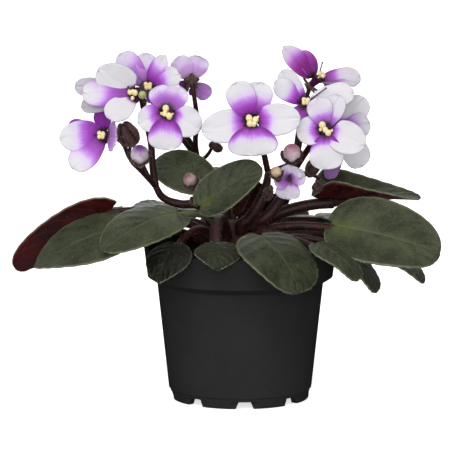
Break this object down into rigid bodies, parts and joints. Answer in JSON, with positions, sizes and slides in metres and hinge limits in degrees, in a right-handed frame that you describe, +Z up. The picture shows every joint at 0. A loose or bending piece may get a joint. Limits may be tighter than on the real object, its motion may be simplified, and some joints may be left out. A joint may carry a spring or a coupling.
{
  "type": "potted african violet",
  "caption": "Flowering rosette plant with hairy dark green leaves and two-tone purple and white blooms on red stalks, in a round tapered black nursery pot.",
  "frame": {"origin": "on the pot's axis, at the level that the pot stands on", "axes": "+Z up; -Y towards the front of the plant; +X to the right of someone who looks at the front"},
  "size_m": [0.232, 0.1708, 0.1932],
  "materials": {
    "pot": "injection-moulded black plastic with a soft sheen",
    "soil": null,
    "crown": "short brown stem with old leaf scars",
    "leaf": "velvety dark green above with paler veins and hairs, wine red below",
    "stalk": "fleshy maroon stem with fine pale hairs",
    "petal": "soft white petal shading through lilac to purple at the throat",
    "anther": "pale yellow pollen sacs",
    "bud": "downy pink and purple bud"
  },
  "bodies": {
    "root": {"pot": "pot", "soil": "soil", "crown": "crown", "leaf_left_back": "leaf", "leaf_left_front": "leaf", "leaf_front_left": "leaf", "leaf_centre": "leaf", "leaf_rim_left": "leaf", "leaf_rim_middle": "leaf", "leaf_front": "leaf", "leaf_front_right": "leaf", "leaf_right": "leaf", "leaf_right_under": "leaf", "leaf_right_low": "leaf", "leaf_right_upper": "leaf", "leaf_upper_left": "leaf", "leaf_upper_back": "leaf", "leaf_left_upper": "leaf", "leaf_back_1": "leaf", "leaf_back_2": "leaf", "leaf_back_3": "leaf", "leaf_back_4": "leaf", "leaf_back_5": "leaf", "leaf_back_6": "leaf", "leaf_back_7": "leaf", "leaf_young_left": "leaf", "leaf_young_right": "leaf", "stalk_left": "stalk", "stalk_middle": "stalk", "stalk_right_low": "stalk", "stalk_right_high": "stalk", "corolla_left_front": "petal", "corolla_left_top": "petal", "corolla_left_middle": "petal", "corolla_left_low": "petal", "corolla_left_behind": "petal", "corolla_middle_front": "petal", "corolla_right_front": "petal", "corolla_right_top": "petal", "corolla_right_middle": "petal", "corolla_right_back": "petal", "corolla_right_low": "petal", "anthers_left_front": "anther", "anthers_left_top": "anther", "anthers_left_middle": "anther", "anthers_left_low": "anther", "anthers_left_behind": "anther", "anthers_middle_front": "anther", "anthers_right_front": "anther", "anthers_right_top": "anther", "anthers_right_middle": "anther", "anthers_right_back": "anther", "bud_left": "bud", "bud_centre": "bud", "bud_right": "bud", "bud_small": "bud"}
  },
  "joints": []
}
